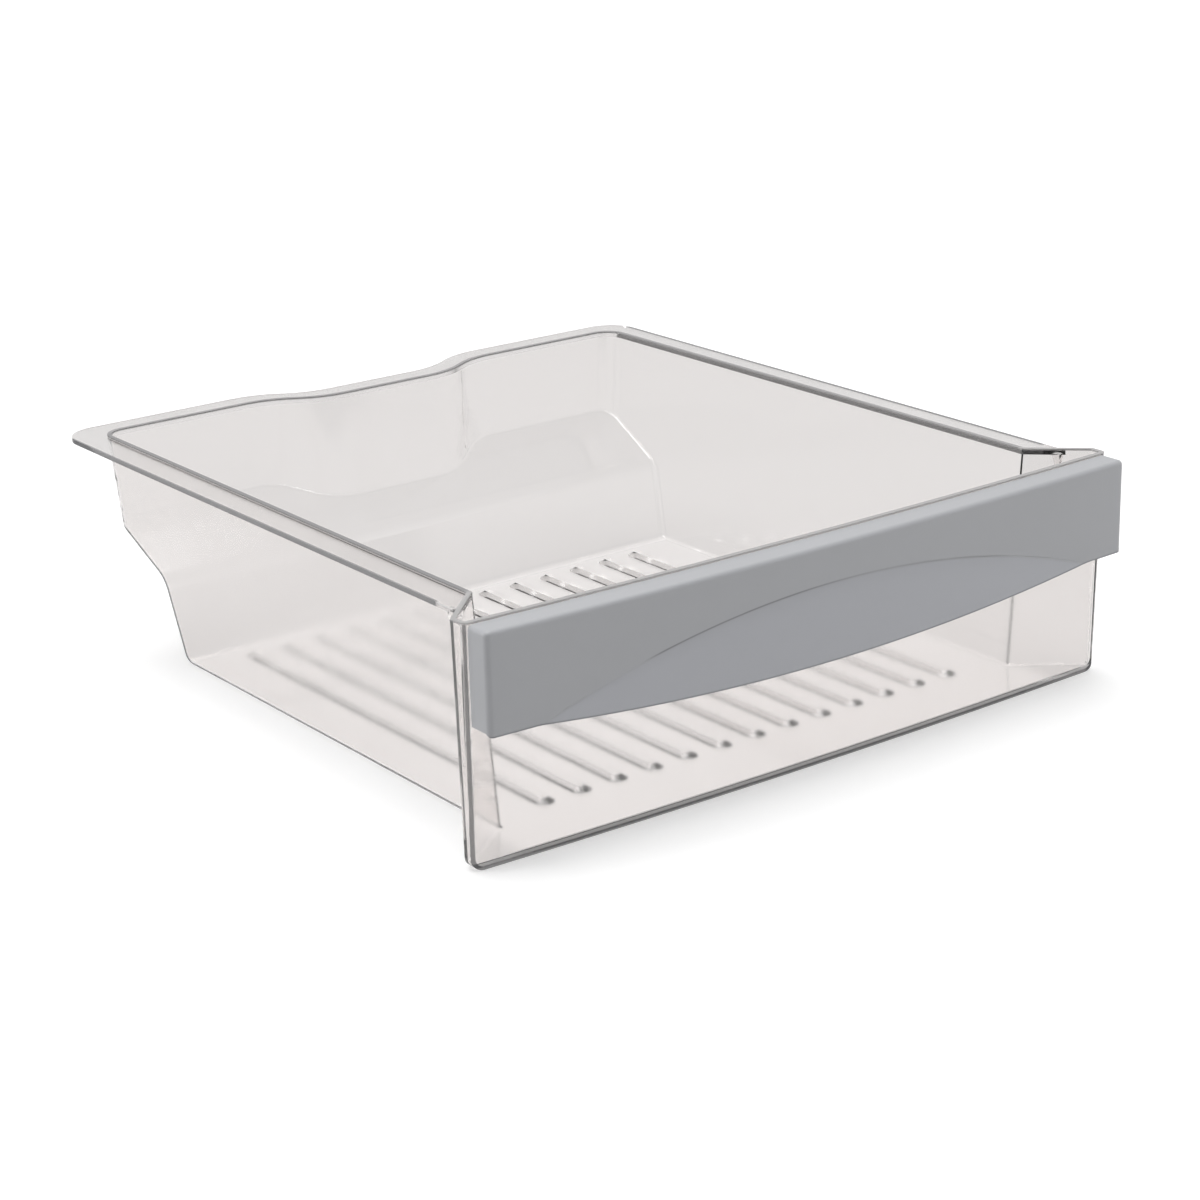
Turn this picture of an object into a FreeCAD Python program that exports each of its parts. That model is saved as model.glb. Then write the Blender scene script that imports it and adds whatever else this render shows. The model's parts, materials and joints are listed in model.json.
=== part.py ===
import FreeCAD, Part
import math
import os

import Sketcher

# Refrigerator snack drawer: a clear moulded pan and the grey handle that hangs on its front wall.
# Millimetres, +Z up, +Y to the back of the refrigerator, origin under the middle of the bounding box.

DRIVING = [
    # The front wall: bowed in plan, leaning forward to the top, a little wider at the top.
    ("front_width", 420.0),
    ("front_spread", 1.5),
    ("front_height", 126.4),
    ("front_wall", 3.0),
    ("front_bow", 4.4),
    ("front_lean", 3.4),
    ("front_corner", 7.0),
    ("end_round", 4.0),
    ("end_round_low", 2.5),
    ("end_round_inside", 1.2),
    # The flared ends: a short end face, then a wall that runs back and inwards to the tub's side.
    ("wing_depth", 7.6),
    ("wing_depth_low", 3.0),
    ("flare_start", 33.0),
    ("flare_reach", 26.85),
    # The tub: drafted sides, a drafted rear wall and an air duct recess in the middle of it.
    ("pan_depth", 424.5),
    ("side_lean", 10.0),
    ("tub_corner", 14.0),
    ("wall", 2.5),
    ("rear_lean", 4.9),
    ("duct_depth", 18.0),
    ("duct_depth_low", 26.0),
    ("duct_flat", 60.0),
    ("duct_width", 176.0),
    # The floor and the step that it takes up to the rear wall, as the side view shows them.
    ("floor_under", 0.8),
    ("floor_thickness", 2.5),
    ("foot_inset", 61.0),
    ("step_lean", 13.2),
    ("step_height", 47.8),
    ("shelf_run", 50.9),
    ("shelf_rise", 25.7),
    ("foot_round", 8.0),
    ("knee_round", 14.0),
    ("edge_round", 4.0),
    # The rim on three sides, which the refrigerator's rails carry.
    ("rim_drop", 1.3),
    ("rim_thickness", 2.5),
    ("rim_side", 16.2),
    ("rim_rear", 17.0),
    ("rim_corner", 20.0),
    # Small stop tabs under the rim's front ends.
    ("tab_length", 8.0),
    ("tab_drop", 7.0),
    ("tab_thickness", 2.5),
    ("tab_place", 22.0),
    # Low, soft ribs along the floor. Their width and ends are taken in the middle of its thickness.
    ("rib_count", 13.0),
    ("rib_pitch", 22.9),
    ("rib_width", 16.0),
    ("rib_height", 2.2),
    ("rib_draft", 60.0),
    ("rib_front", 36.2),
    ("rib_gap", 12.0),
    # The handle: a hollow bowed bar whose lower edge dips in the middle.
    ("handle_inset", 2.25),
    ("handle_drop", 0.9),
    ("handle_height", 51.8),
    ("handle_reach", 18.2),
    ("handle_bow", 5.2),
    ("handle_dip", 10.1),
    ("dip_width", 362.0),
    ("facet_rise", 32.3),
    ("facet_depth", 1.2),
    ("handle_wall", 2.5),
    ("handle_round", 3.0),
    ("handle_edge", 2.2),
    ("handle_corner", 4.0),
    # The lugs on the front wall and the pockets in the handle that drop over them.
    ("lug_near", 70.0),
    ("lug_far", 150.0),
    ("lug_drop", 13.5),
    ("lug_height", 28.0),
    ("stem_width", 3.0),
    ("stem_depth", 3.0),
    ("head_width", 10.0),
    ("head_depth", 2.2),
    ("pocket_wall", 2.7),
    ("clearance", 0.3),
]

NODES = "parts"
# How far a cut reaches past what it cuts, and how near two places count as the same.
MARGIN = 20.0
CLOSE = 0.5
# How much of a face's normal may point up or down while the face still counts as a wall.
STEEP = 0.25
V = FreeCAD.Vector


class Size:
    """A length with its number now and the formula of named sizes that it follows."""

    def __init__(self, number, formula):
        self.number = number
        self.formula = formula

    def __add__(self, other):
        return joined(self, "+", other, lambda a, b: a + b)

    def __radd__(self, other):
        return joined(other, "+", self, lambda a, b: a + b)

    def __sub__(self, other):
        return joined(self, "-", other, lambda a, b: a - b)

    def __rsub__(self, other):
        return joined(other, "-", self, lambda a, b: a - b)

    def __mul__(self, other):
        return joined(self, "*", other, lambda a, b: a * b)

    def __rmul__(self, other):
        return joined(other, "*", self, lambda a, b: a * b)

    def __truediv__(self, other):
        return joined(self, "/", other, lambda a, b: a / b)

    def __neg__(self):
        return 0 - self


def sized(value):
    if isinstance(value, Size):
        return value
    return Size(float(value), repr(float(value)))


def joined(left, sign, right, work):
    left = sized(left)
    right = sized(right)
    return Size(work(left.number, right.number), "(%s %s %s)" % (left.formula, sign, right.formula))


def root(size):
    return Size(math.sqrt(size.number), "sqrt(%s)" % size.formula)


class Sizes:
    """The driving sizes as attributes."""


def make_sheet(doc):
    """Puts the driving sizes in a spreadsheet and gives them back by name."""
    sheet = doc.addObject("Spreadsheet::Sheet", "sizes")
    sizes = Sizes()
    for row, (name, number) in enumerate(DRIVING, start=1):
        sheet.set("A%d" % row, name)
        sheet.set("B%d" % row, str(number))
        sheet.setAlias("B%d" % row, name)
        setattr(sizes, name, Size(number, "sizes." + name))
    doc.recompute()
    return sizes


def add_places(sizes):
    """Works out the places that several pieces share."""
    sizes.side = sizes.front_width / 2 + sizes.front_spread - sizes.flare_reach
    sizes.rear = sizes.pan_depth - sizes.rim_rear
    sizes.foot_place = sizes.rear - sizes.rear_lean - sizes.foot_inset
    sizes.floor_top = sizes.floor_under + sizes.floor_thickness
    sizes.rim_under = sizes.front_height - sizes.rim_drop - sizes.rim_thickness
    sizes.handle_half = sizes.front_width / 2 + sizes.front_spread - sizes.handle_inset
    sizes.handle_top = sizes.front_height - sizes.handle_drop
    sizes.handle_low = sizes.handle_top - sizes.handle_height
    sizes.handle_lowest = sizes.handle_low - sizes.handle_dip
    sizes.lug_top = sizes.handle_top - sizes.lug_drop
    sizes.lug_bottom = sizes.lug_top - sizes.lug_height


def follow(thing, place, size):
    thing.setExpression(place, sized(size).formula)


# Outlines


class Corner:
    """One corner of an outline, and the edge that leaves it: straight, or an arc with a radius."""

    def __init__(self, x, y, radius=None, hollow=False):
        self.x = sized(x)
        self.y = sized(y)
        self.radius = None if radius is None else sized(radius)
        self.hollow = hollow

    def point(self):
        return V(self.x.number, self.y.number, 0)


def both_sides(half, front_radius=None):
    """The right half of an outline, from front to rear, and its mirror image on the left."""
    left = []
    for index in range(len(half) - 1, 0, -1):
        before = half[index - 1]
        left.append(Corner(-half[index].x, half[index].y, before.radius, before.hollow))
    left.append(Corner(-half[0].x, half[0].y, front_radius))
    return half + left


def arc_between(start, end, radius, hollow):
    """The short arc from start to end, its centre on the left of the way, or on the right if hollow."""
    half = (end - start) * 0.5
    side = V(-half.y, half.x, 0).normalize()
    reach = math.sqrt(radius * radius - half.Length ** 2)
    centre = start + half + side * (-reach if hollow else reach)
    first, last = (end, start) if hollow else (start, end)
    turn_first = math.atan2(first.y - centre.y, first.x - centre.x)
    turn_last = math.atan2(last.y - centre.y, last.x - centre.x)
    return Part.ArcOfCircle(Part.Circle(centre, V(0, 0, 1), radius), turn_first, turn_last)


def bind(sketch, constraint, size):
    index = sketch.addConstraint(constraint)
    follow(sketch, "Constraints[%d]" % index, size)


def draw(sketch, corners):
    """Draws a closed outline anticlockwise through the corners and ties each corner to the sizes."""
    ends = []
    for corner, after in zip(corners, corners[1:] + corners[:1]):
        if corner.radius is None:
            edge = sketch.addGeometry(Part.LineSegment(corner.point(), after.point()), False)
            ends.append((edge, 1, 2))
        else:
            arc = arc_between(corner.point(), after.point(), corner.radius.number, corner.hollow)
            edge = sketch.addGeometry(arc, False)
            ends.append((edge, 2, 1) if corner.hollow else (edge, 1, 2))
    for (edge, start, stop), (following, first, last) in zip(ends, ends[1:] + ends[:1]):
        sketch.addConstraint(Sketcher.Constraint("Coincident", edge, stop, following, first))
    for corner, (edge, start, stop) in zip(corners, ends):
        bind(sketch, Sketcher.Constraint("DistanceX", -1, 1, edge, start, corner.x.number), corner.x)
        bind(sketch, Sketcher.Constraint("DistanceY", -1, 1, edge, start, corner.y.number), corner.y)
        if corner.radius is not None:
            bind(sketch, Sketcher.Constraint("Radius", edge, corner.radius.number), corner.radius)


# Features


def new_sketch(body, name, outlines, role="XY_Plane", offset=0):
    """A sketch of closed outlines on one of the body's origin planes, offset along its normal."""
    sketch = body.newObject("Sketcher::SketchObject", name)
    plane = [item for item in body.Origin.OriginFeatures if item.Role == role][0]
    sketch.AttachmentSupport = [(plane, "")]
    sketch.MapMode = "FlatFace"
    follow(sketch, "AttachmentOffset.Base.z", offset)
    for corners in outlines:
        draw(sketch, corners)
    return sketch


def loft(body, name, low, high, height):
    """A solid with straight walls from the low outline at the bottom to the high one."""
    solid = body.newObject("PartDesign::AdditiveLoft", name)
    solid.Profile = new_sketch(body, name + "_low", [low])
    solid.Sections = [new_sketch(body, name + "_high", [high], offset=height)]
    solid.Ruled = True
    body.Document.recompute()


def pad(body, name, sketch, length, both_ways=False, taper=0):
    """Adds the sketch's outlines as a solid of this length."""
    solid = body.newObject("PartDesign::Pad", name)
    solid.Profile = sketch
    if both_ways:
        solid.SideType = "Symmetric"
    follow(solid, "Length", length)
    follow(solid, "TaperAngle", taper)
    body.Document.recompute()
    return solid


def pocket(body, name, sketch, length, both_ways=False):
    """Cuts the sketch's outlines away over this length, against the sketch's normal or both ways."""
    before = body.Shape.Volume
    cut = body.newObject("PartDesign::Pocket", name)
    cut.Profile = sketch
    if both_ways:
        cut.SideType = "Symmetric"
    follow(cut, "Length", length)
    body.Document.recompute()
    assert cut.Shape.Volume < before, name + " takes nothing away"


def round_edges(body, name, radius, wanted):
    """Rounds the edges of the body's last shape that the test picks."""
    before = body.Tip
    shape = before.Shape
    numbered = enumerate(shape.Edges, start=1)
    edges = ["Edge%d" % number for number, edge in numbered if wanted(shape, edge)]
    fillet = body.newObject("PartDesign::Fillet", name)
    fillet.Base = (before, edges)
    follow(fillet, "Radius", radius)
    body.Document.recompute()


def boolean(body, name, tool, kind):
    """Cuts the tool body from this body, or keeps what the two share."""
    change = body.newObject("PartDesign::Boolean", name)
    change.Type = kind
    change.setObjects([tool])
    body.Document.recompute()


def middle(edge):
    return edge.valueAt((edge.FirstParameter + edge.LastParameter) / 2)


def lies_across(y, z):
    """Picks the straight edge that lies across the body at this depth and height."""

    def wanted(shape, edge):
        point = middle(edge)
        off = math.hypot(point.y - y.number, point.z - z.number)
        return isinstance(edge.Curve, Part.Line) and off < CLOSE and edge.BoundBox.YLength < CLOSE

    return wanted


def tilt(face, point):
    """How much of a face's outward normal points up, at a point on it."""
    across, along = face.Surface.parameter(point)
    return face.normalAt(across, along).z


def under_edges(behind):
    """Picks the edges behind this depth where the faces underneath meet the walls on them."""

    def wanted(shape, edge):
        point = middle(edge)
        tilts = sorted(tilt(face, point) for face in shape.ancestorsOfType(edge, Part.Face))
        return point.y > behind + CLOSE and tilts[0] < -STEEP < tilts[1] < STEEP

    return wanted


# The drawer in plan


class Level:
    """The drawer's plan sizes at the bottom of the front wall, or at its top."""

    def __init__(self, sizes, high):
        half = sizes.front_width / 2
        self.sizes = sizes
        if high:
            self.half = half + sizes.front_spread
            self.face = -sizes.front_lean
            self.corner = sizes.end_round
            self.wing = self.face + sizes.front_wall + sizes.wing_depth
            self.side = sizes.side
            self.rear = sizes.rear
            self.duct = sizes.duct_depth
        else:
            self.half = half
            self.face = sized(0)
            self.corner = sizes.end_round_low
            self.wing = self.face + sizes.front_wall + sizes.wing_depth_low
            self.side = sizes.side - sizes.side_lean
            self.rear = sizes.rear - sizes.rear_lean
            self.duct = sizes.duct_depth_low

    def duct_corners(self, rear, inset):
        """Half of the recess in a rear edge: two equal arcs that meet half way into it."""
        wide = self.sizes.duct_width / 2
        flat = self.sizes.duct_flat / 2
        span = wide - flat
        radius = (span * span + self.duct * self.duct) / (4 * self.duct)
        share = (radius - inset) / radius
        meet_x = wide - span / 2 * share
        meet_y = rear - radius + (radius - self.duct / 2) * share
        return [
            Corner(wide, rear - inset, radius - inset),
            Corner(meet_x, meet_y, radius + inset, hollow=True),
            Corner(flat, rear - self.duct - inset),
        ]

    def flare(self, x, inset):
        """Where the flare's face stands at a half width x, moved in by inset square to itself."""
        start = self.sizes.flare_start
        slope = (start - self.wing) / (self.half - self.side)
        return start - slope * (x - self.side) - inset * root(1 + slope * slope)

    def outside(self):
        sizes = self.sizes
        reach = self.half - self.corner
        half = [
            Corner(reach, self.face, self.corner),
            Corner(self.half, self.face + self.corner),
            Corner(self.half, self.wing),
            Corner(self.side, sizes.flare_start),
            Corner(self.side, self.rear - sizes.tub_corner, sizes.tub_corner),
            Corner(self.side - sizes.tub_corner, self.rear),
        ]
        return both_sides(half + self.duct_corners(self.rear, 0), bow_radius(reach, sizes.front_bow))

    def inside(self):
        sizes = self.sizes
        wall = sizes.wall
        corner = sizes.end_round_inside
        end = self.half - wall
        side = self.side - wall
        inner_face = self.face + sizes.front_wall
        reach = end - corner
        half = [
            Corner(reach, inner_face, corner),
            Corner(end, inner_face + corner),
            Corner(end, self.flare(end, wall)),
            Corner(side, self.flare(side, wall)),
            Corner(side, self.rear - sizes.tub_corner, sizes.tub_corner - wall),
            Corner(self.side - sizes.tub_corner, self.rear - wall),
        ]
        rear_half = self.duct_corners(self.rear, wall)
        return both_sides(half + rear_half, bow_radius(reach, sizes.front_bow))

    def rim(self):
        """The rim's outline: round three sides on the outside, back along the middle of the wall."""
        sizes = self.sizes
        seat = sizes.wall / 2
        outer = self.side + sizes.rim_side
        inner = self.side - seat
        outside = [
            Corner(outer, self.flare(outer, seat)),
            Corner(outer, sizes.pan_depth - sizes.rim_corner, sizes.rim_corner),
            Corner(outer - sizes.rim_corner, sizes.pan_depth),
        ]
        inside = [
            Corner(inner, self.flare(inner, seat)),
            Corner(inner, self.rear - sizes.tub_corner, sizes.tub_corner - seat),
            Corner(self.side - sizes.tub_corner, self.rear - seat),
        ]
        outside += self.duct_corners(sizes.pan_depth, 0)
        inside += self.duct_corners(self.rear, seat)
        way_out = both_sides(outside)
        way_in = backwards(both_sides(inside))
        return way_out + way_in


def bow_radius(reach, bow):
    """The radius of a bow over this half width."""
    return (reach * reach + bow * bow) / (2 * bow)


def backwards(corners):
    """The same open run of corners from its end to its start, with its arcs turned round."""
    turned = []
    for index in range(len(corners) - 1, 0, -1):
        edge = corners[index - 1]
        turned.append(Corner(corners[index].x, corners[index].y, edge.radius, not edge.hollow))
    turned.append(Corner(corners[0].x, corners[0].y))
    return turned


class Step:
    """The side view of the floor: flat to the foot, up the leg to the knee, then back up the shelf."""

    def __init__(self, sizes):
        self.sizes = sizes
        self.lean = sizes.step_lean / sizes.step_height
        self.slope = sizes.shelf_rise / sizes.shelf_run

    def below(self, front, floor, inset):
        """What lies under the floor's face, from the front backwards, and the face's foot and knee."""
        sizes = self.sizes
        leg_in = inset * root(1 + self.lean * self.lean)
        shelf_in = inset * root(1 + self.slope * self.slope)
        up = (shelf_in - self.slope * leg_in) / (1 - self.lean * self.slope)
        knee_y = sizes.foot_place + sizes.step_lean + self.lean * up - leg_in
        knee_z = sizes.floor_under + sizes.step_height + up
        foot_y = sizes.foot_place + self.lean * (floor - sizes.floor_under) - leg_in
        end = sizes.pan_depth + MARGIN
        foot = Corner(foot_y, floor)
        knee = Corner(knee_y, knee_z)
        region = [
            Corner(front, -MARGIN),
            Corner(end, -MARGIN),
            Corner(end, knee_z + self.slope * (end - knee_y)),
            knee,
            foot,
            Corner(front, floor),
        ]
        return region, foot, knee


def mirrored(corners):
    """The same closed outline on the other side of the middle plane."""
    turned = []
    for index in range(len(corners) - 1, -1, -1):
        edge = corners[index - 1]
        turned.append(Corner(-corners[index].x, corners[index].y, edge.radius, edge.hollow))
    return turned


class Front:
    """The curve of the front wall's face in plan at its top, which the lugs and the handle follow."""

    def __init__(self, sizes):
        top = Level(sizes, True)
        self.radius = bow_radius(top.half - top.corner, sizes.front_bow)
        self.centre = top.face - sizes.front_bow + self.radius

    def line(self, x, gap):
        """How far back a line parallel to the face runs at x, this gap in front of the face."""
        reach = self.radius + gap
        return self.centre - root(reach * reach - x * x)


def lug_outline(sizes, x, root_y, gap):
    """A lug in plan, a stem with a head across its end, or the slot for it with a gap all round."""
    stem = sizes.stem_width / 2 + gap
    head = sizes.head_width / 2 + gap
    behind = Front(sizes).line(x, 0) - sizes.stem_depth
    head_rear = behind + gap
    head_front = behind - sizes.head_depth - gap
    return [
        Corner(x - head, head_front),
        Corner(x + head, head_front),
        Corner(x + head, head_rear),
        Corner(x + stem, head_rear),
        Corner(x + stem, root_y),
        Corner(x - stem, root_y),
        Corner(x - stem, head_rear),
        Corner(x - head, head_rear),
    ]


def lug_places(sizes):
    """Each lug's place along the front wall, and how far that is from the wall's middle."""
    far, near = sizes.lug_far, sizes.lug_near
    return [(-far, far), (-near, near), (near, near), (far, far)]


# The pan


def build_room(doc, sizes):
    """The space inside the pan."""
    low = Level(sizes, False)
    high = Level(sizes, True)
    room = doc.addObject("PartDesign::Body", "room")
    loft(room, "room_walls", low.inside(), high.inside(), sizes.front_height)
    region, foot, knee = Step(sizes).below(-MARGIN, sizes.floor_top, sizes.wall)
    sketch = new_sketch(room, "room_side_view", [region], "YZ_Plane")
    pocket(room, "room_floor", sketch, 2 * sizes.front_width, both_ways=True)
    inner_foot = sizes.foot_round - sizes.wall
    round_edges(room, "room_foot", inner_foot, lies_across(foot.x, foot.y))
    round_edges(room, "room_knee", sizes.knee_round + sizes.wall, lies_across(knee.x, knee.y))
    round_edges(room, "room_edges", sizes.edge_round - sizes.wall, under_edges(low.wing.number))
    return room


def build_pan(doc, sizes):
    low = Level(sizes, False)
    high = Level(sizes, True)
    pan = doc.addObject("PartDesign::Body", "pan")

    # The outside: only the front wall reaches down past the floor's underside.
    loft(pan, "pan_walls", low.outside(), high.outside(), sizes.front_height)
    region, foot, knee = Step(sizes).below(sizes.front_wall, sizes.floor_under, 0)
    sketch = new_sketch(pan, "pan_side_view", [region], "YZ_Plane")
    pocket(pan, "pan_underside", sketch, 2 * sizes.front_width, both_ways=True)
    round_edges(pan, "pan_foot", sizes.foot_round, lies_across(foot.x, foot.y))
    round_edges(pan, "pan_knee", sizes.knee_round, lies_across(knee.x, knee.y))
    round_edges(pan, "pan_edges", sizes.edge_round, under_edges(sizes.front_wall.number))

    # The inside, and behind the front wall's skirt.
    boolean(pan, "pan_hollow", build_room(doc, sizes), "Cut")
    sketch = new_sketch(pan, "skirt_rear", [low.inside()], offset=sizes.floor_under)
    pocket(pan, "skirt", sketch, sizes.floor_under + MARGIN)

    # The skirt's rounded corners, as the front view shows them.
    radius = sizes.front_corner
    side = low.half + sizes.front_spread * radius / sizes.front_height
    corner = [
        Corner(side - radius, -MARGIN),
        Corner(side + MARGIN, -MARGIN),
        Corner(side + MARGIN, radius),
        Corner(side, radius, radius, hollow=True),
        Corner(side - radius, 0),
    ]
    sketch = new_sketch(pan, "front_corner_view", [corner, mirrored(corner)], "XZ_Plane")
    pocket(pan, "front_corners", sketch, 2 * sizes.pan_depth, both_ways=True)

    # The rim and the tabs under its front ends.
    sketch = new_sketch(pan, "rim_plan", [high.rim()], offset=sizes.rim_under)
    pad(pan, "rim", sketch, sizes.rim_thickness)
    tab_top = sizes.rim_under + sizes.rim_thickness / 2
    tab_tip = sizes.rim_under - sizes.tab_drop
    tab = [
        Corner(sizes.tab_place - sizes.tab_length / 2, tab_top),
        Corner(sizes.tab_place - sizes.tab_length / 8, tab_tip),
        Corner(sizes.tab_place + sizes.tab_length / 8, tab_tip),
        Corner(sizes.tab_place + sizes.tab_length / 2, tab_top),
    ]
    rim_side = high.side + sizes.rim_side
    for name, place in (("right", rim_side - sizes.tab_thickness), ("left", -rim_side)):
        sketch = new_sketch(pan, name + "_tab_view", [tab], "YZ_Plane", place)
        pad(pan, name + "_tab", sketch, sizes.tab_thickness)

    # The lugs on the front wall, rooted in the middle of it.
    leaned_back = sizes.front_lean * (sizes.front_height - sizes.lug_bottom) / sizes.front_height
    outlines = []
    for x, away in lug_places(sizes):
        in_wall = Front(sizes).line(away, 0) + leaned_back + sizes.front_wall / 2
        outlines.append(lug_outline(sizes, x, in_wall, 0))
    pad(pan, "lugs", new_sketch(pan, "lug_plan", outlines, offset=sizes.lug_bottom), sizes.lug_height)

    # The ribs, which stand on the floor and grow from the middle of its thickness.
    span = sizes.rib_pitch * (sizes.rib_count - 1)
    x = -span / 2
    half = sizes.rib_width / 2
    rear = sizes.foot_place - sizes.rib_gap
    rib = [
        Corner(x, sizes.rib_front, half),
        Corner(x + half, sizes.rib_front + half),
        Corner(x + half, rear - half, half),
        Corner(x, rear, half),
        Corner(x - half, rear - half),
        Corner(x - half, sizes.rib_front + half, half),
    ]
    in_floor = sizes.floor_under + sizes.floor_thickness / 2
    sketch = new_sketch(pan, "rib_plan", [rib], offset=in_floor)
    first = pad(pan, "rib", sketch, sizes.floor_thickness / 2 + sizes.rib_height, taper=-sizes.rib_draft)
    axis = [item for item in pan.Origin.OriginFeatures if item.Role == "X_Axis"][0]
    ribs = pan.newObject("PartDesign::LinearPattern", "ribs")
    ribs.Originals = [first]
    ribs.Direction = (axis, [""])
    follow(ribs, "Length", span)
    follow(ribs, "Occurrences", sizes.rib_count)
    pan.Tip = ribs
    doc.recompute()
    return pan


# The handle


def build_facet(doc, sizes):
    """What is taken off the handle's face: a lens with an arched top, deepest along the arch."""
    low = sizes.handle_lowest
    rise = sizes.facet_rise + sizes.handle_dip
    half = sizes.dip_width / 2
    end = sizes.handle_half - sizes.handle_round
    bow = bow_radius(end, sizes.handle_bow)

    def plan(front):
        return both_sides([Corner(end, front), Corner(end, MARGIN)], bow)

    floor = doc.addObject("PartDesign::Body", "facet_floor")
    lower = new_sketch(floor, "facet_floor_low", [plan(-sizes.handle_reach)], offset=low)
    upper = new_sketch(floor, "facet_floor_high", [plan(-sizes.handle_reach + sizes.facet_depth)],
                       offset=low + rise)
    solid = floor.newObject("PartDesign::AdditiveLoft", "facet_floor_solid")
    solid.Profile = lower
    solid.Sections = [upper]
    solid.Ruled = True
    doc.recompute()

    facet = doc.addObject("PartDesign::Body", "facet")
    lens = [
        Corner(-half, low - MARGIN),
        Corner(half, low - MARGIN),
        Corner(half, sizes.handle_low, bow_radius(half, sizes.facet_rise)),
        Corner(-half, sizes.handle_low),
    ]
    sketch = new_sketch(facet, "facet_view", [lens], "XZ_Plane", sizes.handle_reach)
    pad(facet, "facet_lens", sketch, 4 * MARGIN, both_ways=True)
    boolean(facet, "facet_depth", floor, "Cut")
    return facet


def build_handle(doc, sizes):
    front = Front(sizes)
    handle = doc.addObject("PartDesign::Body", "handle")
    half = sizes.handle_half
    radius = sizes.handle_round
    reach = -sizes.handle_reach
    low = sizes.handle_lowest
    rear = front.line(half, sizes.clearance)
    bow = bow_radius(half - radius, sizes.handle_bow)

    # The bar, its rear edge parallel to the front wall, its top edge rounded along the front.
    plan = [
        Corner(half - radius, reach, radius),
        Corner(half, reach + radius),
        Corner(half, rear, front.radius + sizes.clearance, hollow=True),
    ]
    sketch = new_sketch(handle, "handle_plan", [both_sides(plan, bow)], offset=low)
    pad(handle, "handle_bar", sketch, sizes.handle_top - low)

    def on_front(shape, edge):
        point = middle(edge)
        at_top = abs(point.z - sizes.handle_top.number) < CLOSE
        return at_top and (abs(point.x) > CLOSE or point.y < reach.number)

    round_edges(handle, "handle_top_edge", sizes.handle_edge, on_front)

    # The lower edge: level at the ends, rounded at the corners, dipping in the middle.
    dip = sizes.dip_width / 2
    corner = sizes.handle_corner
    under = [
        Corner(-half - MARGIN, low - MARGIN),
        Corner(half + MARGIN, low - MARGIN),
        Corner(half + MARGIN, sizes.handle_low + corner),
        Corner(half, sizes.handle_low + corner, corner, hollow=True),
        Corner(half - corner, sizes.handle_low),
        Corner(dip, sizes.handle_low, bow_radius(dip, sizes.handle_dip), hollow=True),
        Corner(-dip, sizes.handle_low),
        Corner(corner - half, sizes.handle_low, corner, hollow=True),
        Corner(-half, sizes.handle_low + corner),
        Corner(-half - MARGIN, sizes.handle_low + corner),
    ]
    sketch = new_sketch(handle, "handle_view", [under], "XZ_Plane")
    pocket(handle, "handle_lower_edge", sketch, 8 * MARGIN, both_ways=True)

    # The inside, open to the rear and below.
    wall = sizes.handle_wall
    ceiling = sizes.handle_top - wall
    inner = half - wall - radius / 2
    room = [
        Corner(inner, reach + wall, radius / 2),
        Corner(half - wall, reach + wall + radius / 2),
        Corner(half - wall, MARGIN),
    ]
    plan = both_sides(room, bow_radius(inner, sizes.handle_bow))
    pocket(handle, "handle_hollow", new_sketch(handle, "handle_room", [plan], offset=ceiling), ceiling)

    # A block for each lug, and the slot in it that the lug slides into from below.
    block = sizes.head_width / 2 + sizes.clearance + sizes.pocket_wall
    block_bottom = sizes.lug_bottom - sizes.pocket_wall
    bow_centre = reach - sizes.handle_bow + bow
    blocks = []
    slots = []
    for x, away in lug_places(sizes):
        far = away + block
        near = away - block
        face = bow_centre - root(bow * bow - far * far) + wall / 2
        back = front.line(near, sizes.clearance)
        blocks.append([
            Corner(x - block, face),
            Corner(x + block, face),
            Corner(x + block, back),
            Corner(x - block, back),
        ])
        slots.append(lug_outline(sizes, x, MARGIN, sizes.clearance))
    sketch = new_sketch(handle, "block_plan", blocks, offset=block_bottom)
    pad(handle, "blocks", sketch, ceiling + wall / 2 - block_bottom)
    sketch = new_sketch(handle, "slot_plan", slots, offset=sizes.lug_top + sizes.clearance)
    pocket(handle, "slots", sketch, sizes.lug_height + MARGIN)

    boolean(handle, "handle_facet", build_facet(doc, sizes), "Cut")
    return handle


# The whole drawer


def check(doc, bodies):
    """Stops if any object failed, or if a sub-part isn't one sound solid."""
    for item in doc.Objects:
        if "Invalid" in item.State or "Error" in item.State:
            raise RuntimeError("%s: %s" % (item.Name, item.State))
    for body in bodies:
        shape = body.Shape
        if shape.isNull() or not shape.isValid() or len(shape.Solids) != 1:
            raise RuntimeError(body.Label + " isn't one sound solid")
        box = shape.BoundBox
        print("%s %.0f mm3, %.1f to %.1f, %.1f to %.1f, %.1f to %.1f" % (
            body.Label, shape.Volume, box.XMin, box.XMax, box.YMin, box.YMax, box.ZMin, box.ZMax))


def main():
    doc = FreeCAD.newDocument("snack_drawer")
    sizes = make_sheet(doc)
    add_places(sizes)
    bodies = [build_pan(doc, sizes), build_handle(doc, sizes)]
    front = -sizes.handle_reach - sizes.handle_bow
    for body in bodies:
        follow(body, "Placement.Base.y", -(front + sizes.pan_depth) / 2)
    doc.recompute()
    check(doc, bodies)
    os.makedirs(NODES, exist_ok=True)
    for body in bodies:
        body.Shape.exportStep(os.path.join(NODES, body.Label + ".step"))


main()
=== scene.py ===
# %% [markdown]
# # A clear refrigerator snack drawer
#
# The drawer is two mouldings: a clear pan, and a grey handle that hangs on the pan's front wall. The
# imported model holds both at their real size. This notebook dresses the pan, models the handle anew,
# gives both their plastics, lights them like a catalogue photograph on white, and puts the camera
# where the photographer stood.

# %% Load the frame
import json
import math

import bpy
from mathutils import Matrix, Vector

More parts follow.
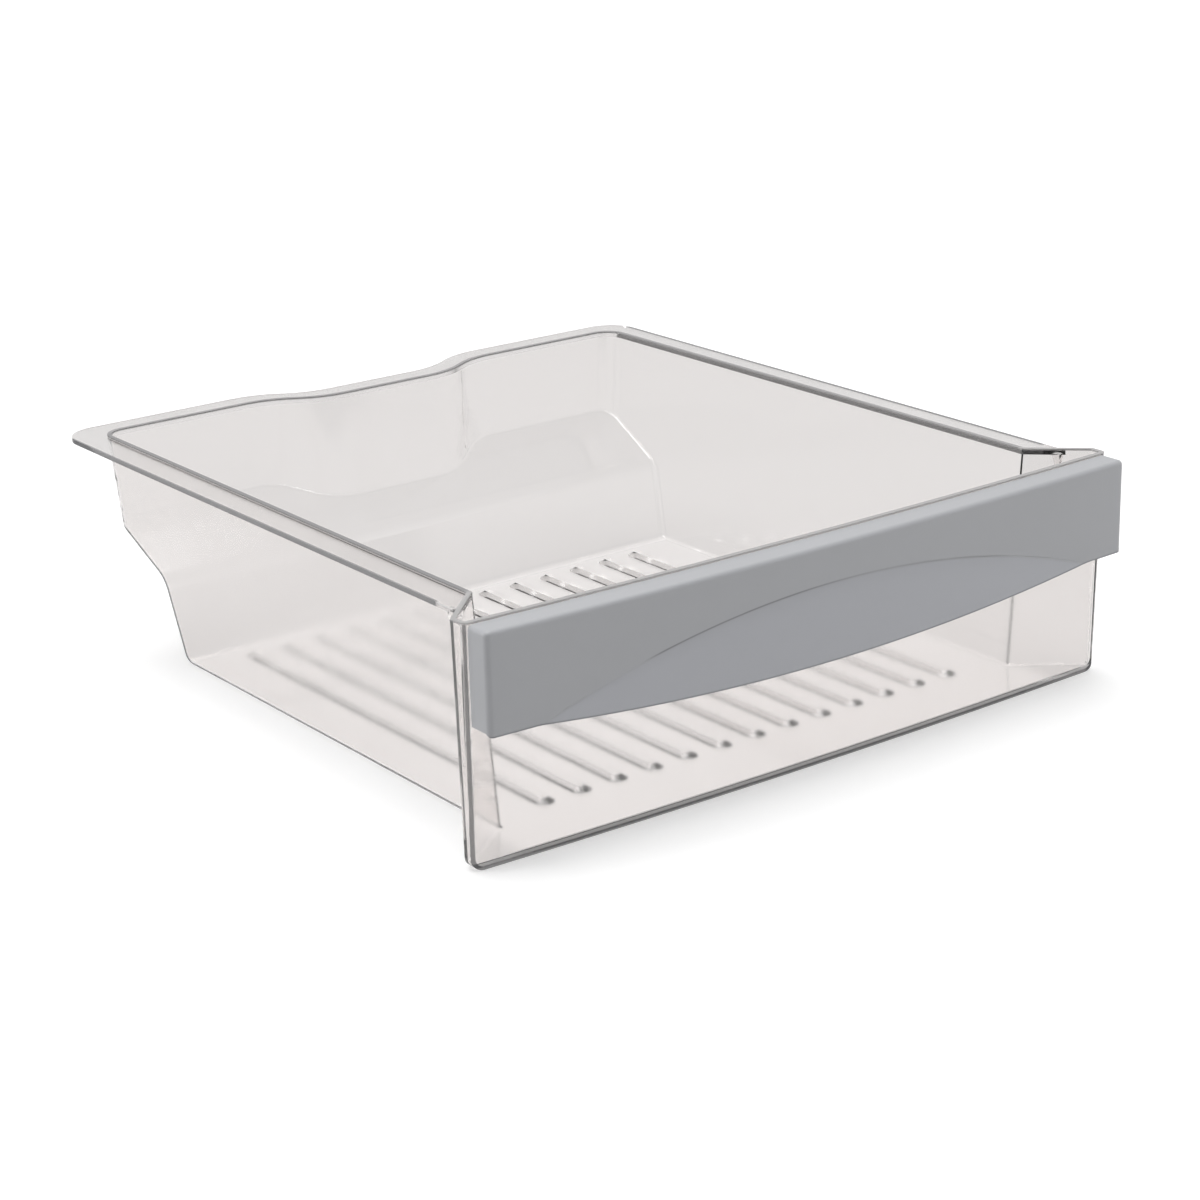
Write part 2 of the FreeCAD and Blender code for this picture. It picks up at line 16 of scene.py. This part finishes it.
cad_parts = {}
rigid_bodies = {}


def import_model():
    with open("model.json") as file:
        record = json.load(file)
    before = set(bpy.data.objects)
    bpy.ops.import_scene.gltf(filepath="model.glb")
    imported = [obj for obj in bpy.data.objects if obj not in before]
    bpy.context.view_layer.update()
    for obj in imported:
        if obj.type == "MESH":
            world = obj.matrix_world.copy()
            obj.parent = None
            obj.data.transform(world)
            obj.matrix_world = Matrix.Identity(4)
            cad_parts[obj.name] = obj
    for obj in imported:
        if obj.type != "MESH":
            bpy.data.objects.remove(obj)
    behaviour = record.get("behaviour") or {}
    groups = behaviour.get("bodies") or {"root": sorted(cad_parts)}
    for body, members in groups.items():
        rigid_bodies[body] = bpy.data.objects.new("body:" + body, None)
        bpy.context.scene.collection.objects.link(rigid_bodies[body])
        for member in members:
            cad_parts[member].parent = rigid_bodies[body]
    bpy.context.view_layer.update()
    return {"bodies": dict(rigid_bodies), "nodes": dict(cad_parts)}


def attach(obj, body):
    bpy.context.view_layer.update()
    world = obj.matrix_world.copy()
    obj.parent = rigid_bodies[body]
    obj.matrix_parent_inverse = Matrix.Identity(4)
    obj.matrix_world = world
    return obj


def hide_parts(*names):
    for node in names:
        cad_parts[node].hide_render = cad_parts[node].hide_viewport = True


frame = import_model()
print("bodies:", sorted(frame["bodies"]), "nodes:", sorted(frame["nodes"]))

scene = bpy.context.scene
scene.view_settings.view_transform = "Standard"

# %% [markdown]
# ## The camera
#
# The lens is long, so the drawer's parallel edges stay nearly parallel in the picture. The camera
# stands to the left of the front, looks down at about 19 degrees, and is rolled a little. A turn
# about Z, then a tilt about X, then a roll about the view's own axis gives that, in this order.

# %% Camera
LENS_MM = 83.0
SENSOR_MM = 36.0
CAMERA_PLACE = (-0.86883, -1.19832, 0.54983)
CAMERA_TURN = math.radians(-36.49)
CAMERA_DOWN = math.radians(19.15)
CAMERA_ROLL = math.radians(-1.52)


def make_camera():
    camera = bpy.data.objects.new("camera", bpy.data.cameras.new("camera"))
    scene.collection.objects.link(camera)
    camera.data.lens = LENS_MM
    camera.data.sensor_width = SENSOR_MM
    camera.data.clip_start = 0.01
    turn = Matrix.Rotation(CAMERA_TURN, 3, "Z")
    tilt = Matrix.Rotation(math.pi / 2 - CAMERA_DOWN, 3, "X")
    roll = Matrix.Rotation(CAMERA_ROLL, 3, "Z")
    camera.rotation_euler = (turn @ tilt @ roll).to_euler()
    camera.location = CAMERA_PLACE
    scene.camera = camera


make_camera()
print("camera:", [round(value, 3) for value in scene.camera.location], "lens:", LENS_MM, "mm")

# %% [markdown]
# ## Shader maths in Python
#
# A procedural finish is mostly arithmetic on sockets. Wiring Math nodes by hand hides the formula,
# so a small class wraps a socket and turns Python's operators into those nodes. Every other node
# comes from one method, which takes its type, its settings and what goes into its sockets.

# %% The socket class and the finish class


class Wire:
    """A socket in a node tree, which adds Math nodes when it is used in a formula."""

    def __init__(self, finish, socket):
        self.finish = finish
        self.socket = socket

    def maths(self, operation, first, second):
        return self.finish.node("Math", {"operation": operation}, {0: first, 1: second})["Value"]

    def __add__(self, other):
        return self.maths("ADD", self, other)

    def __radd__(self, other):
        return self.maths("ADD", other, self)

    def __sub__(self, other):
        return self.maths("SUBTRACT", self, other)

    def __rsub__(self, other):
        return self.maths("SUBTRACT", other, self)

    def __mul__(self, other):
        return self.maths("MULTIPLY", self, other)

    def __rmul__(self, other):
        return self.maths("MULTIPLY", other, self)

    def __abs__(self):
        return self.maths("ABSOLUTE", self, 0.0)

    def most(self, other):
        return self.maths("MAXIMUM", self, other)

    def root(self):
        return self.maths("SQRT", self, 0.0)

    def ramp(self, start, end):
        """Smoothly from 0 at start to 1 at end."""
        inputs = {"Value": self, "From Min": start, "From Max": end}
        return self.finish.node("MapRange", {"interpolation_type": "SMOOTHSTEP"}, inputs)["Result"]


class Made:
    """A new node, whose outputs are read by name or number as wires."""

    def __init__(self, finish, node):
        self.finish = finish
        self.node = node

    def __getitem__(self, name):
        return Wire(self.finish, self.node.outputs[name])


class Finish:
    """A material, or the world, that starts empty and is built up node by node."""

    def __init__(self, owner, output):
        owner.use_nodes = True
        self.owner = owner
        self.output = output
        self.tree = owner.node_tree
        self.tree.nodes.clear()

    def node(self, kind, settings, inputs):
        node = self.tree.nodes.new("ShaderNode" + kind)
        for name, value in settings.items():
            setattr(node, name, value)
        for name, value in inputs.items():
            if isinstance(value, Wire):
                self.tree.links.new(value.socket, node.inputs[name])
            else:
                node.inputs[name].default_value = value
        return Made(self, node)

    def place(self):
        """Where a point is on the piece, in metres."""
        return self.node("TexCoord", {}, {})["Object"]

    def noise(self, cells, detail, stretch=(1, 1, 1)):
        """Smooth noise with so many cells to the metre, from 0 to 1."""
        spread = self.node("Mapping", {}, {"Vector": self.place(), "Scale": stretch})["Vector"]
        inputs = {"Vector": spread, "Scale": cells, "Detail": detail}
        return self.node("TexNoise", {}, inputs)["Fac"]

    def colours(self, share, first, second):
        """A colour that goes from the first to the second as the share goes from 0 to 1."""
        return self.node("Mix", {"data_type": "RGBA"}, {0: share, 6: first, 7: second})[2]

    def bump(self, height, strength, distance):
        inputs = {"Height": height, "Strength": strength, "Distance": distance}
        return self.node("Bump", {}, inputs)["Normal"]

    def done(self, surface, volume=None):
        inputs = {"Surface": surface}
        if volume is not None:
            inputs["Volume"] = volume
        self.node(self.output, {}, inputs)
        return self.owner


def new_material(name):
    return Finish(bpy.data.materials.new(name), "OutputMaterial")


# %% [markdown]
# ## Clear polystyrene
#
# The pan is crystal polystyrene. It bends light strongly and has a faint warm grey cast. Its skin is
# a polished mould's, with very slight flow waves and a few matter patches. Where a wall ends, at the
# rim's outer edge, at the flared ends and along the foot of the front wall, light is trapped in the
# sheet and the end reads as a dark line. That line is painted shade: a matt grey is mixed in there,
# by where a point is on the pan, darker on the ends of the sheet and a paler painted shade on the top
# of its walls, and painted light, nearly white, just over the foot's line, where the floor's sheet
# would swallow the view.

# %% The clear plastic
POLYSTYRENE_IOR = 1.59
CLEAR = (0.94, 0.917, 0.908, 1)
CLEAR_PALE = (0.95, 0.932, 0.924, 1)
CLEAR_POLISH = 0.06
CLEAR_HAZE = 0.06
FLOW_CELLS = 14.0
FLOW_STRETCH = (1, 0.35, 1)
FLOW_BUMP = (0.15, 0.0005)
PATCH_CELLS = 45.0
TRAPPED = (0.74, 0.72, 0.72, 1)
TRAPPED_DENSITY = 3.0
SHEET_END_SHADE = (0.21, 0.21, 0.215, 1)
WALL_TOP_SHADE = (0.45, 0.44, 0.44, 1)
REAR_TOP_MORE_SHADE = 0.6
FOOT_PAINTED_LIGHT = (0.85, 0.83, 0.82, 1)
END_SHADE_SHARE = 0.8
END_SHADE_ROUGHNESS = 0.8
FOOT_LINE = (0.0034, 0.0042)
RIM_LINE = (0.1994, 0.2004)
RIDGE_LINE = (0.1251, 0.1260)
FLARE_REAR = (-0.168, -0.164)
END_FACE = (-0.1992, -0.1980)
END_LEAN = 0.027
END_SPREAD = 0.0119
EDGE_CENTRE = (0.203, 0.007)
EDGE_LINE = (0.0046, 0.0054)
FACING = (0.2, 0.5)


def painted_sheet_end_shade(finish):
    """How much painted shade a point takes on the ends of the sheet, from 0 to 1, and the colour of
    that painted shade there.
    """
    axes = finish.node("SeparateXYZ", {}, {0: finish.place()})
    normal = finish.node("NewGeometry", {}, {})["Normal"]
    facing = (0.0 - finish.node("SeparateXYZ", {}, {0: normal})["Y"]).ramp(*FACING)
    at_front = 1 - (axes["Y"] + END_LEAN * axes["Z"]).ramp(*END_FACE)
    aside = abs(axes["X"])
    out = (aside - END_SPREAD * axes["Z"] - EDGE_CENTRE[0]).most(0.0)
    down = (EDGE_CENTRE[1] - axes["Z"]).most(0.0)
    from_centre = (out * out + down * down).root()
    wall_end = from_centre.ramp(*EDGE_LINE) * at_front * facing
    foot = (1 - axes["Z"].ramp(*FOOT_LINE)) * at_front * facing
    behind_flare = axes["Y"].ramp(*FLARE_REAR)
    rim_end = aside.ramp(*RIM_LINE) * behind_flare
    wall_top = axes["Z"].ramp(*RIDGE_LINE)
    # Painted shade: the wall tops take a paler grey, darker again behind the flares; the foot takes a
    # painted pale light.
    top_colour = finish.colours(wall_top * (1 - REAR_TOP_MORE_SHADE * behind_flare), SHEET_END_SHADE, WALL_TOP_SHADE)
    colour = finish.colours(foot * (1 - wall_end), top_colour, FOOT_PAINTED_LIGHT)
    return rim_end.most(wall_end).most(wall_top).most(foot), colour


def clear_polystyrene():
    finish = new_material("clear_polystyrene")
    flow = finish.noise(FLOW_CELLS, 2.0, FLOW_STRETCH)
    patches = finish.noise(PATCH_CELLS, 3.0)
    painted_shade_mask, painted_shade_colour = painted_sheet_end_shade(finish)
    clear = finish.node("BsdfPrincipled", {}, {
        "Base Color": finish.colours(patches, CLEAR, CLEAR_PALE),
        "Roughness": CLEAR_POLISH + CLEAR_HAZE * patches,
        "IOR": POLYSTYRENE_IOR,
        "Transmission Weight": 1.0,
        "Normal": finish.bump(flow, *FLOW_BUMP),
    })["BSDF"]
    painted_shade = finish.node("BsdfPrincipled", {}, {
        "Base Color": painted_shade_colour,
        "Roughness": END_SHADE_ROUGHNESS,
        "Specular IOR Level": 0.0,
    })["BSDF"]
    # The painted shade is a matt grey mixed over the clear plastic on the ends of the sheet.
    shader = finish.node("MixShader", {}, {0: painted_shade_mask * END_SHADE_SHARE, 1: clear, 2: painted_shade})["Shader"]
    inside = finish.node("VolumeAbsorption", {}, {"Color": TRAPPED, "Density": TRAPPED_DENSITY})
    return finish.done(shader, inside["Volume"])


# %% [markdown]
# ## Helpers for modelling
#
# An operator works on all that is selected, so each step starts with nothing selected and picks what
# it needs by place. A grid primitive is the start of each curved skin: its columns follow the plan
# of the piece and its rows follow the heights, which keeps every face a clean quad.

# %% Selection, grids and modifiers


def only(piece):
    bpy.ops.object.select_all(action="DESELECT")
    piece.select_set(True)
    bpy.context.view_layer.objects.active = piece


def bent_grid(name, columns, rows, place):
    """A grid primitive with each corner moved to the place of its column and row."""
    bpy.ops.object.select_all(action="DESELECT")
    bpy.ops.mesh.primitive_grid_add(x_subdivisions=columns, y_subdivisions=rows, size=1)
    piece = bpy.context.object
    piece.name = name
    for corner in piece.data.vertices:
        column = round((corner.co.x + 0.5) * columns)
        row = round((corner.co.y + 0.5) * rows)
        corner.co = place(column, row)
    return piece


def block(name, low, high):
    """A cube primitive between two corners, its place in its mesh."""
    middle = [(a + b) / 2 for a, b in zip(low, high)]
    spans = [b - a for a, b in zip(low, high)]
    bpy.ops.object.select_all(action="DESELECT")
    bpy.ops.mesh.primitive_cube_add(size=1, location=middle, scale=spans)
    bpy.ops.object.transform_apply(location=True, rotation=True, scale=True)
    piece = bpy.context.object
    piece.name = name
    return piece


def modified(piece, kind, **settings):
    """Adds a modifier and applies it."""
    only(piece)
    modifier = piece.modifiers.new(kind.lower(), kind)
    for name, value in settings.items():
        setattr(modifier, name, value)
    bpy.ops.object.modifier_apply(modifier=modifier.name)


def cut_or_joined(piece, other, operation):
    """The piece after a boolean with the other, which is used up."""
    modified(piece, "BOOLEAN", object=other, operation=operation, solver="EXACT")
    bpy.data.objects.remove(other)


def in_edit_mode(piece, work):
    only(piece)
    bpy.ops.object.mode_set(mode="EDIT")
    bpy.ops.mesh.select_all(action="SELECT")
    work()
    bpy.ops.object.mode_set(mode="OBJECT")


def smooth(piece, angle):
    only(piece)
    bpy.ops.object.shade_smooth_by_angle(angle=angle)
    modified(piece, "WEIGHTED_NORMAL", keep_sharp=True)
    print(piece.name, len(piece.data.vertices), "vertices", len(piece.data.polygons), "faces")


def finished(piece, material, node_name):
    piece.data.materials.clear()
    piece.data.materials.append(material)
    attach(piece, node_name)
    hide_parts(node_name)


# %% [markdown]
# ## The clear pan
#
# The pan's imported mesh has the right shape, but it is loose triangles with hard shading. A copy is
# merged into one skin and its flat stretches are joined into single faces. A fine bevel then rounds
# the edges that a mould would never leave sharp, so that they catch and bend the light.

# %% The pan's skin
MERGE_DISTANCE = 0.00002
FLAT_ANGLE = math.radians(0.3)
SHARP_ANGLE = math.radians(28)
PAN_EDGE = 0.0004


def clear_pan():
    node = frame["nodes"]["pan"]
    piece = bpy.data.objects.new("clear_pan", node.data.copy())
    piece.data.name = "clear_pan"
    scene.collection.objects.link(piece)

    def skin():
        bpy.ops.mesh.remove_doubles(threshold=MERGE_DISTANCE)
        bpy.ops.mesh.dissolve_limited(angle_limit=FLAT_ANGLE)

    in_edit_mode(piece, skin)
    modified(piece, "BEVEL", width=PAN_EDGE, segments=2, limit_method="ANGLE", angle_limit=SHARP_ANGLE)
    smooth(piece, SHARP_ANGLE)
    return piece


finished(clear_pan(), clear_polystyrene(), "pan")

# %% [markdown]
# ## The handle's skin
#
# The handle is a long hollow bar. Seen from above its face is a shallow bow with rounded ends. Its
# lower edge dips in the middle, and an arched crease above the dip sets a shallow facet into the
# face. Cutting all that from a block would leave long thin faces, so two grids follow it instead:
# one for the face and ends, whose rows run along the lower edge and the crease and over the rounded
# top edge, and one for the top strip.

# %% The handle's outline
HALF = 0.20925
TOP = 0.1255
LOW = 0.0737
LOWEST = 0.0636
FRONT = -0.22395
END_FRONT = -0.21875
REAR = -0.20865
REAR_RADIUS = 4.89
END_ROUND = 0.003
LOW_CORNER = 0.0018
DIP_HALF = 0.181
ARCH = 0.1051
FACET_DEPTH = 0.0012
FACET_SWELL = 0.6
LEDGE = 0.00022
FACET_LEAST = 8 * LEDGE
FACE_COLUMNS = 138
CORNER_COLUMNS = 4
END_COLUMNS = 4
FACET_ROWS = 8
UPPER_ROWS = 7


def radius_of(half, rise):
    return (half * half + rise * rise) / (2 * rise)


def sag(radius, x):
    return radius - math.sqrt(radius * radius - x * x)


FACE_RADIUS = radius_of(HALF - END_ROUND, END_FRONT - FRONT)
DIP_RADIUS = radius_of(DIP_HALF, LOW - LOWEST)
ARCH_RADIUS = radius_of(DIP_HALF, ARCH - LOW)


def rear_line(x):
    return REAR + sag(REAR_RADIUS, x)


def lower_edge(x):
    """The height of the lower edge at x."""
    into_corner = abs(x) - (HALF - LOW_CORNER)
    if into_corner > 0:
        return LOW + sag(LOW_CORNER, min(into_corner, LOW_CORNER))
    if abs(x) > DIP_HALF:
        return LOW
    return LOWEST + sag(DIP_RADIUS, x)


def crease(x):
    """The height of the crease at x, and how deep the facet lies under it."""
    least = lower_edge(x) + FACET_LEAST
    if abs(x) >= DIP_HALF:
        return least, 0.0
    arch = ARCH - sag(ARCH_RADIUS, x)
    return max(arch, least), FACET_DEPTH * ((arch - LOW) / (ARCH - LOW)) ** FACET_SWELL


def front_outline(inset):
    """The plan of the left corner, the face and the right corner, moved in by the inset."""
    centre = (HALF - END_ROUND, END_FRONT + END_ROUND)
    radius = END_ROUND - inset
    turns = [math.pi / 2 * step / CORNER_COLUMNS for step in range(CORNER_COLUMNS + 1)]
    corner = [(centre[0] + radius * math.cos(t), centre[1] - radius * math.sin(t)) for t in turns]
    face = []
    for step in range(1, FACE_COLUMNS):
        x = centre[0] * (2 * step / FACE_COLUMNS - 1) * (1 - inset / FACE_RADIUS)
        face.append((x, FRONT + inset + sag(FACE_RADIUS - inset, x)))
    return [(-x, y) for x, y in corner] + face + corner[::-1]


def outline(inset):
    """The plan from the rear of the left end round to the rear of the right end."""
    x = HALF - inset
    start = END_FRONT + END_ROUND
    depth = rear_line(x) - start
    end = [(x, start + depth * step / END_COLUMNS) for step in range(1, END_COLUMNS + 1)]
    return [(-x, y) for x, y in end[::-1]] + front_outline(inset) + end


# %% Two grids, one wall
HANDLE_WALL = 0.0025
HANDLE_EDGE = 0.0026
EDGE_ROWS = 6


def face_skin():
    """The face and the ends, from the lower edge up and over the rounded top edge."""
    turns = [math.pi / 2 * step / EDGE_ROWS for step in range(EDGE_ROWS + 1)]
    plans = [outline(HANDLE_EDGE * (1 - math.cos(turn))) for turn in turns]
    face_top = TOP - HANDLE_EDGE
    under_edge = FACET_ROWS + 1 + UPPER_ROWS

    def place(column, row):
        if row > under_edge:
            step = row - under_edge
            x, y = plans[step][column]
            return x, y, face_top + HANDLE_EDGE * math.sin(turns[step])
        x, y = plans[0][column]
        low = lower_edge(x)
        bend, depth = crease(x)
        if row <= FACET_ROWS:
            share = row / FACET_ROWS
            return x, y + depth * share, low + (bend - LEDGE - low) * share
        share = (row - FACET_ROWS - 1) / UPPER_ROWS
        return x, y, bend + LEDGE + (face_top - bend - LEDGE) * share

    return bent_grid("handle_face", len(plans[0]) - 1, under_edge + EDGE_ROWS, place)


def top_skin():
    plan = front_outline(HANDLE_EDGE)

    def place(column, row):
        x, y = plan[column]
        return x, y + (rear_line(x) - y) * row / END_COLUMNS, TOP

    return bent_grid("handle_top", len(plan) - 1, END_COLUMNS, place)


def handle_shell():
    shell = face_skin()
    top = top_skin()
    only(shell)
    top.select_set(True)
    bpy.ops.object.join()

    def one_skin():
        bpy.ops.mesh.remove_doubles(threshold=MERGE_DISTANCE)
        bpy.ops.mesh.normals_make_consistent(inside=False)

    in_edit_mode(shell, one_skin)
    front = min(shell.data.polygons, key=lambda face: face.center.y)
    if front.normal.y > 0:
        in_edit_mode(shell, bpy.ops.mesh.flip_normals)
    modified(shell, "SOLIDIFY", thickness=HANDLE_WALL, offset=-1.0)
    return shell


shell = handle_shell()
print("shell:", len(shell.data.polygons), "faces")

# %% [markdown]
# ## The pockets behind the face
#
# Four lugs on the pan's front wall carry the handle. Each slides up into a block behind the face,
# through a slot that is narrow for the lug's stem and wide for its head, so the handle can only lift
# off. One block is a cube with two smaller cubes taken out of it by a boolean.

# %% Pocket blocks
LUGS = (-0.150, -0.070, 0.070, 0.150)
BLOCK_HALF = 0.008
BLOCK_LOW = 0.0813
BLOCK_HIGH = 0.1240
SLOT_TOP = 0.1123
STEM_HALF = 0.0018
HEAD_HALF = 0.0053
HEAD_DEPTH = 0.0028
HEAD_BEHIND_REAR = {0.150: 0.00216, 0.070: 0.00229}
BURIED = 0.0003
PAST_REAR = 0.01


def pocket(x):
    away = abs(x)
    rear = rear_line(away - BLOCK_HALF)
    head_rear = rear - HEAD_BEHIND_REAR[away]
    face = FRONT + sag(FACE_RADIUS, away) + HANDLE_WALL - BURIED
    piece = block("pocket", (x - BLOCK_HALF, face, BLOCK_LOW), (x + BLOCK_HALF, rear, BLOCK_HIGH))
    stem_low = (x - STEM_HALF, head_rear - BURIED, LOWEST)
    stem = block("stem", stem_low, (x + STEM_HALF, rear + PAST_REAR, SLOT_TOP))
    head_low = (x - HEAD_HALF, head_rear - HEAD_DEPTH, LOWEST)
    head = block("head", head_low, (x + HEAD_HALF, head_rear, SLOT_TOP))
    cut_or_joined(piece, stem, "DIFFERENCE")
    cut_or_joined(piece, head, "DIFFERENCE")
    return piece


for x in LUGS:
    cut_or_joined(shell, pocket(x), "UNION")
print("shell with pockets:", len(shell.data.polygons), "faces")

# %% [markdown]
# ## Grey handle plastic
#
# The handle is an opaque grey moulding with a fine satin grain from a lightly etched mould. The
# grain is a fine noise in the bump, the sheen varies with a broad noise in the roughness, and the
# colour drifts by a few hundredths, as a pigmented plastic's does. The facet under the arched crease
# is painted a paler, bluer grey, a painted light for a face that tips up towards the light. The lower
# edge and the crease on the face carry a thin line of painted shade. Both are arcs seen from the
# front, so each line is a circle's, worked out from the values that shaped the edge and the crease.

# %% The grey plastic
GREY = (0.375, 0.380, 0.396, 1)
GREY_PALE = (0.40, 0.406, 0.422, 1)
FACET_PAINTED_LIGHT = (0.435, 0.443, 0.475, 1)
GREY_SHADED = (0.12, 0.122, 0.127, 1)
GREY_IOR = 1.5
SATIN = 0.40
SATIN_DRIFT = 0.10
DRIFT_CELLS = 9.0
GRAIN_CELLS = 2600.0
GRAIN_BUMP = (0.25, 0.0001)
DIP_CIRCLE = (DIP_RADIUS, LOWEST + DIP_RADIUS)
UNDER_EDGE = (0.0002, 0.0011)
EDGE_SHARE = 0.7
ARCH_CIRCLE = (ARCH_RADIUS, ARCH - ARCH_RADIUS)
CREASE_LINE = (0.0004, 0.0010)
CREASE_RUN = (0.108, 0.125)
CREASE_LEFT = (-0.035, 0.03)
CREASE_SHARE = 0.6
CREASE_FADE = 0.4
FACET_LIGHT_SHARE = 0.7
FACET_BLEND = (0.0, 0.002)


def grey_satin():
    finish = new_material("grey_satin")
    drift = finish.noise(DRIFT_CELLS, 2.0)
    grain = finish.noise(GRAIN_CELLS, 2.0)
    axes = finish.node("SeparateXYZ", {}, {0: finish.place()})

    def inside_circle(circle):
        radius, height = circle
        up = axes["Z"] - height
        return radius - (axes["X"] * axes["X"] + up * up).root()

    # Painted shade: a thin dark line along the lower edge and along the crease, stronger on the left.
    above_edge = inside_circle(DIP_CIRCLE).most(axes["Z"] - LOW)
    edge_line = 1 - above_edge.ramp(*UNDER_EDGE)
    share = CREASE_SHARE - CREASE_FADE * axes["X"].ramp(*CREASE_LEFT)
    run = (1 - abs(axes["X"]).ramp(*CREASE_RUN)) * share
    under_arch = inside_circle(ARCH_CIRCLE)
    crease_line = (1 - abs(under_arch).ramp(*CREASE_LINE)) * run
    # Painted light: the facet under the arch is mixed towards a paler, bluer grey.
    facet_light = FACET_LIGHT_SHARE * under_arch.ramp(*FACET_BLEND)
    plain = finish.colours(facet_light, finish.colours(drift, GREY, GREY_PALE), FACET_PAINTED_LIGHT)
    shaded = (EDGE_SHARE * edge_line).most(crease_line)
    shader = finish.node("BsdfPrincipled", {}, {
        "Base Color": finish.colours(shaded, plain, GREY_SHADED),
        "Roughness": SATIN + SATIN_DRIFT * drift,
        "IOR": GREY_IOR,
        "Normal": finish.bump(grain, *GRAIN_BUMP),
    })["BSDF"]
    return finish.done(shader)


# %% The finished handle
SOFT_EDGE = 0.0003
SOFT_ANGLE = math.radians(40)
shell.name = "grey_handle"
shell.data.name = "grey_handle"
modified(shell, "BEVEL", width=SOFT_EDGE, segments=2, limit_method="ANGLE", angle_limit=SOFT_ANGLE)
smooth(shell, SHARP_ANGLE)
finished(shell, grey_satin(), "handle")

# %% [markdown]
# ## Floor
#
# The floor is white paper that runs on past the picture. Its colour is lit by the lamps, so the
# drawer's shadow falls on it, and a glow that only the camera, reflections and the clear plastic see
# brings it up to white. Clear plastic lets most light through to the paper under it, which a path
# tracer rarely finds, so seen through the plastic the paper is mostly a painted pool of light, an
# emission that fades a little with the distance from the drawer.

# %% White floor
FLOOR_SIZE = 14.0
PAPER = (0.6, 0.6, 0.6, 1)
PAPER_GLOW = 0.45
POOL_LIGHT_NEAR = (0.99, 0.975, 0.970, 1)
POOL_LIGHT_FAR = (0.76, 0.749, 0.745, 1)
POOL_MIDDLE = -0.035
POOL = (0.172, 0.186)
THROUGH_SHARE = 0.85


def make_floor():
    bpy.ops.object.select_all(action="DESELECT")
    bpy.ops.mesh.primitive_plane_add(size=FLOOR_SIZE)
    floor = bpy.context.object
    floor.name = "floor"
    finish = new_material("white_paper")
    rays = finish.node("LightPath", {}, {})
    seen = rays["Is Camera Ray"].most(rays["Is Glossy Ray"]).most(rays["Is Transmission Ray"])
    paper = finish.node("BsdfDiffuse", {}, {"Color": PAPER})["BSDF"]
    glow = finish.node("Emission", {}, {"Strength": seen * PAPER_GLOW})["Emission"]
    lit = finish.node("AddShader", {}, {0: paper, 1: glow})["Shader"]
    # Painted light: seen through the clear plastic, the paper shows a glowing pool that fades away
    # from the drawer.
    axes = finish.node("SeparateXYZ", {}, {0: finish.place()})
    away = abs(axes["X"]).most(abs(axes["Y"] - POOL_MIDDLE))
    painted_pool_colour = finish.colours(away.ramp(*POOL), POOL_LIGHT_NEAR, POOL_LIGHT_FAR)
    painted_pool = finish.node("Emission", {}, {"Color": painted_pool_colour})["Emission"]
    through = rays["Is Transmission Ray"] * THROUGH_SHARE
    both = finish.node("MixShader", {}, {0: through, 1: lit, 2: painted_pool})["Shader"]
    floor.data.materials.append(finish.done(both))


make_floor()
print("floor:", FLOOR_SIZE, "m wide")

# %% [markdown]
# ## Studio light
#
# Clear plastic shows only what lies behind it and what it reflects. With white all round it would
# vanish, so the room is white down by the floor and grey overhead, as in a studio with a bright
# backdrop and a dark ceiling. Straight views through a wall stay white, and the rims and rounded
# edges, which bend the view upwards, turn grey. The soft light of the room is weaker on the camera's
# side, which gives the handle's face its tone. Three soft lamps light the handle: one overhead, one
# behind the left end, and one in front on the right, so the end and the face are bright and the
# corner between them is darker. The lamp in front shows in no reflection, as it would glare in the
# clear walls.

# %% World and lamps
DIFFUSE_LEVEL = 0.35
WHITE_BELOW = 0.30
GREY_ABOVE = 0.75
CEILING = 0.5
TOWARD_CAMERA = (-0.7, -0.7)
DARK_SIDE = (0.3, 1.0)
DARK_SHARE = 0.7
LAMP_SIZE = 1.0


def make_world():
    scene.world = bpy.data.worlds.new("studio")
    finish = Finish(scene.world, "OutputWorld")
    rays = finish.node("LightPath", {}, {})
    direction = finish.node("TexCoord", {}, {})["Generated"]
    axes = finish.node("SeparateXYZ", {}, {0: direction})
    room = 1 - CEILING * axes["Z"].ramp(WHITE_BELOW, GREY_ABOVE)
    toward_camera = TOWARD_CAMERA[0] * axes["X"] + TOWARD_CAMERA[1] * axes["Y"]
    ambient = DIFFUSE_LEVEL * (1 - DARK_SHARE * toward_camera.ramp(*DARK_SIDE))
    camera = rays["Is Camera Ray"]
    shiny = rays["Is Glossy Ray"].most(rays["Is Transmission Ray"]) * (1 - camera)
    level = camera + shiny * room + (1 - camera) * (1 - shiny) * ambient
    finish.done(finish.node("Background", {}, {"Strength": level})["Background"])


def put_lamp(lamp, place, target, glare=True):
    """Points a lamp at its target. Without glare it lights the piece but shows in no reflection."""
    holder = bpy.data.objects.new(lamp.name, lamp)
    holder.visible_glossy = glare
    holder.visible_transmission = glare
    holder.location = place
    holder.rotation_euler = (Vector(target) - Vector(place)).to_track_quat("-Z", "Y").to_euler()
    scene.collection.objects.link(holder)


def sky_light(name, place, target, spread, strength):
    """A lamp so far away that it lights all the floor alike."""
    lamp = bpy.data.lights.new(name, "SUN")
    lamp.angle = math.radians(spread)
    lamp.energy = strength
    put_lamp(lamp, place, target)


def area_light(name, place, target, watts, glare=True):
    lamp = bpy.data.lights.new(name, "AREA")
    lamp.size = LAMP_SIZE
    lamp.energy = watts
    put_lamp(lamp, place, target, glare)


make_world()
sky_light("overhead", (0.0, 0.3, 2.0), (0, 0, 0), spread=50, strength=2.8)
area_light("behind_left", (-2.0, 0.9, 0.9), (-0.2, -0.2, 0.1), watts=18)
area_light("front_right", (1.3, -1.9, 0.8), (0.1, -0.2, 0.1), watts=13, glare=False)
print("lamps:", sorted(lamp.name for lamp in bpy.data.lights))
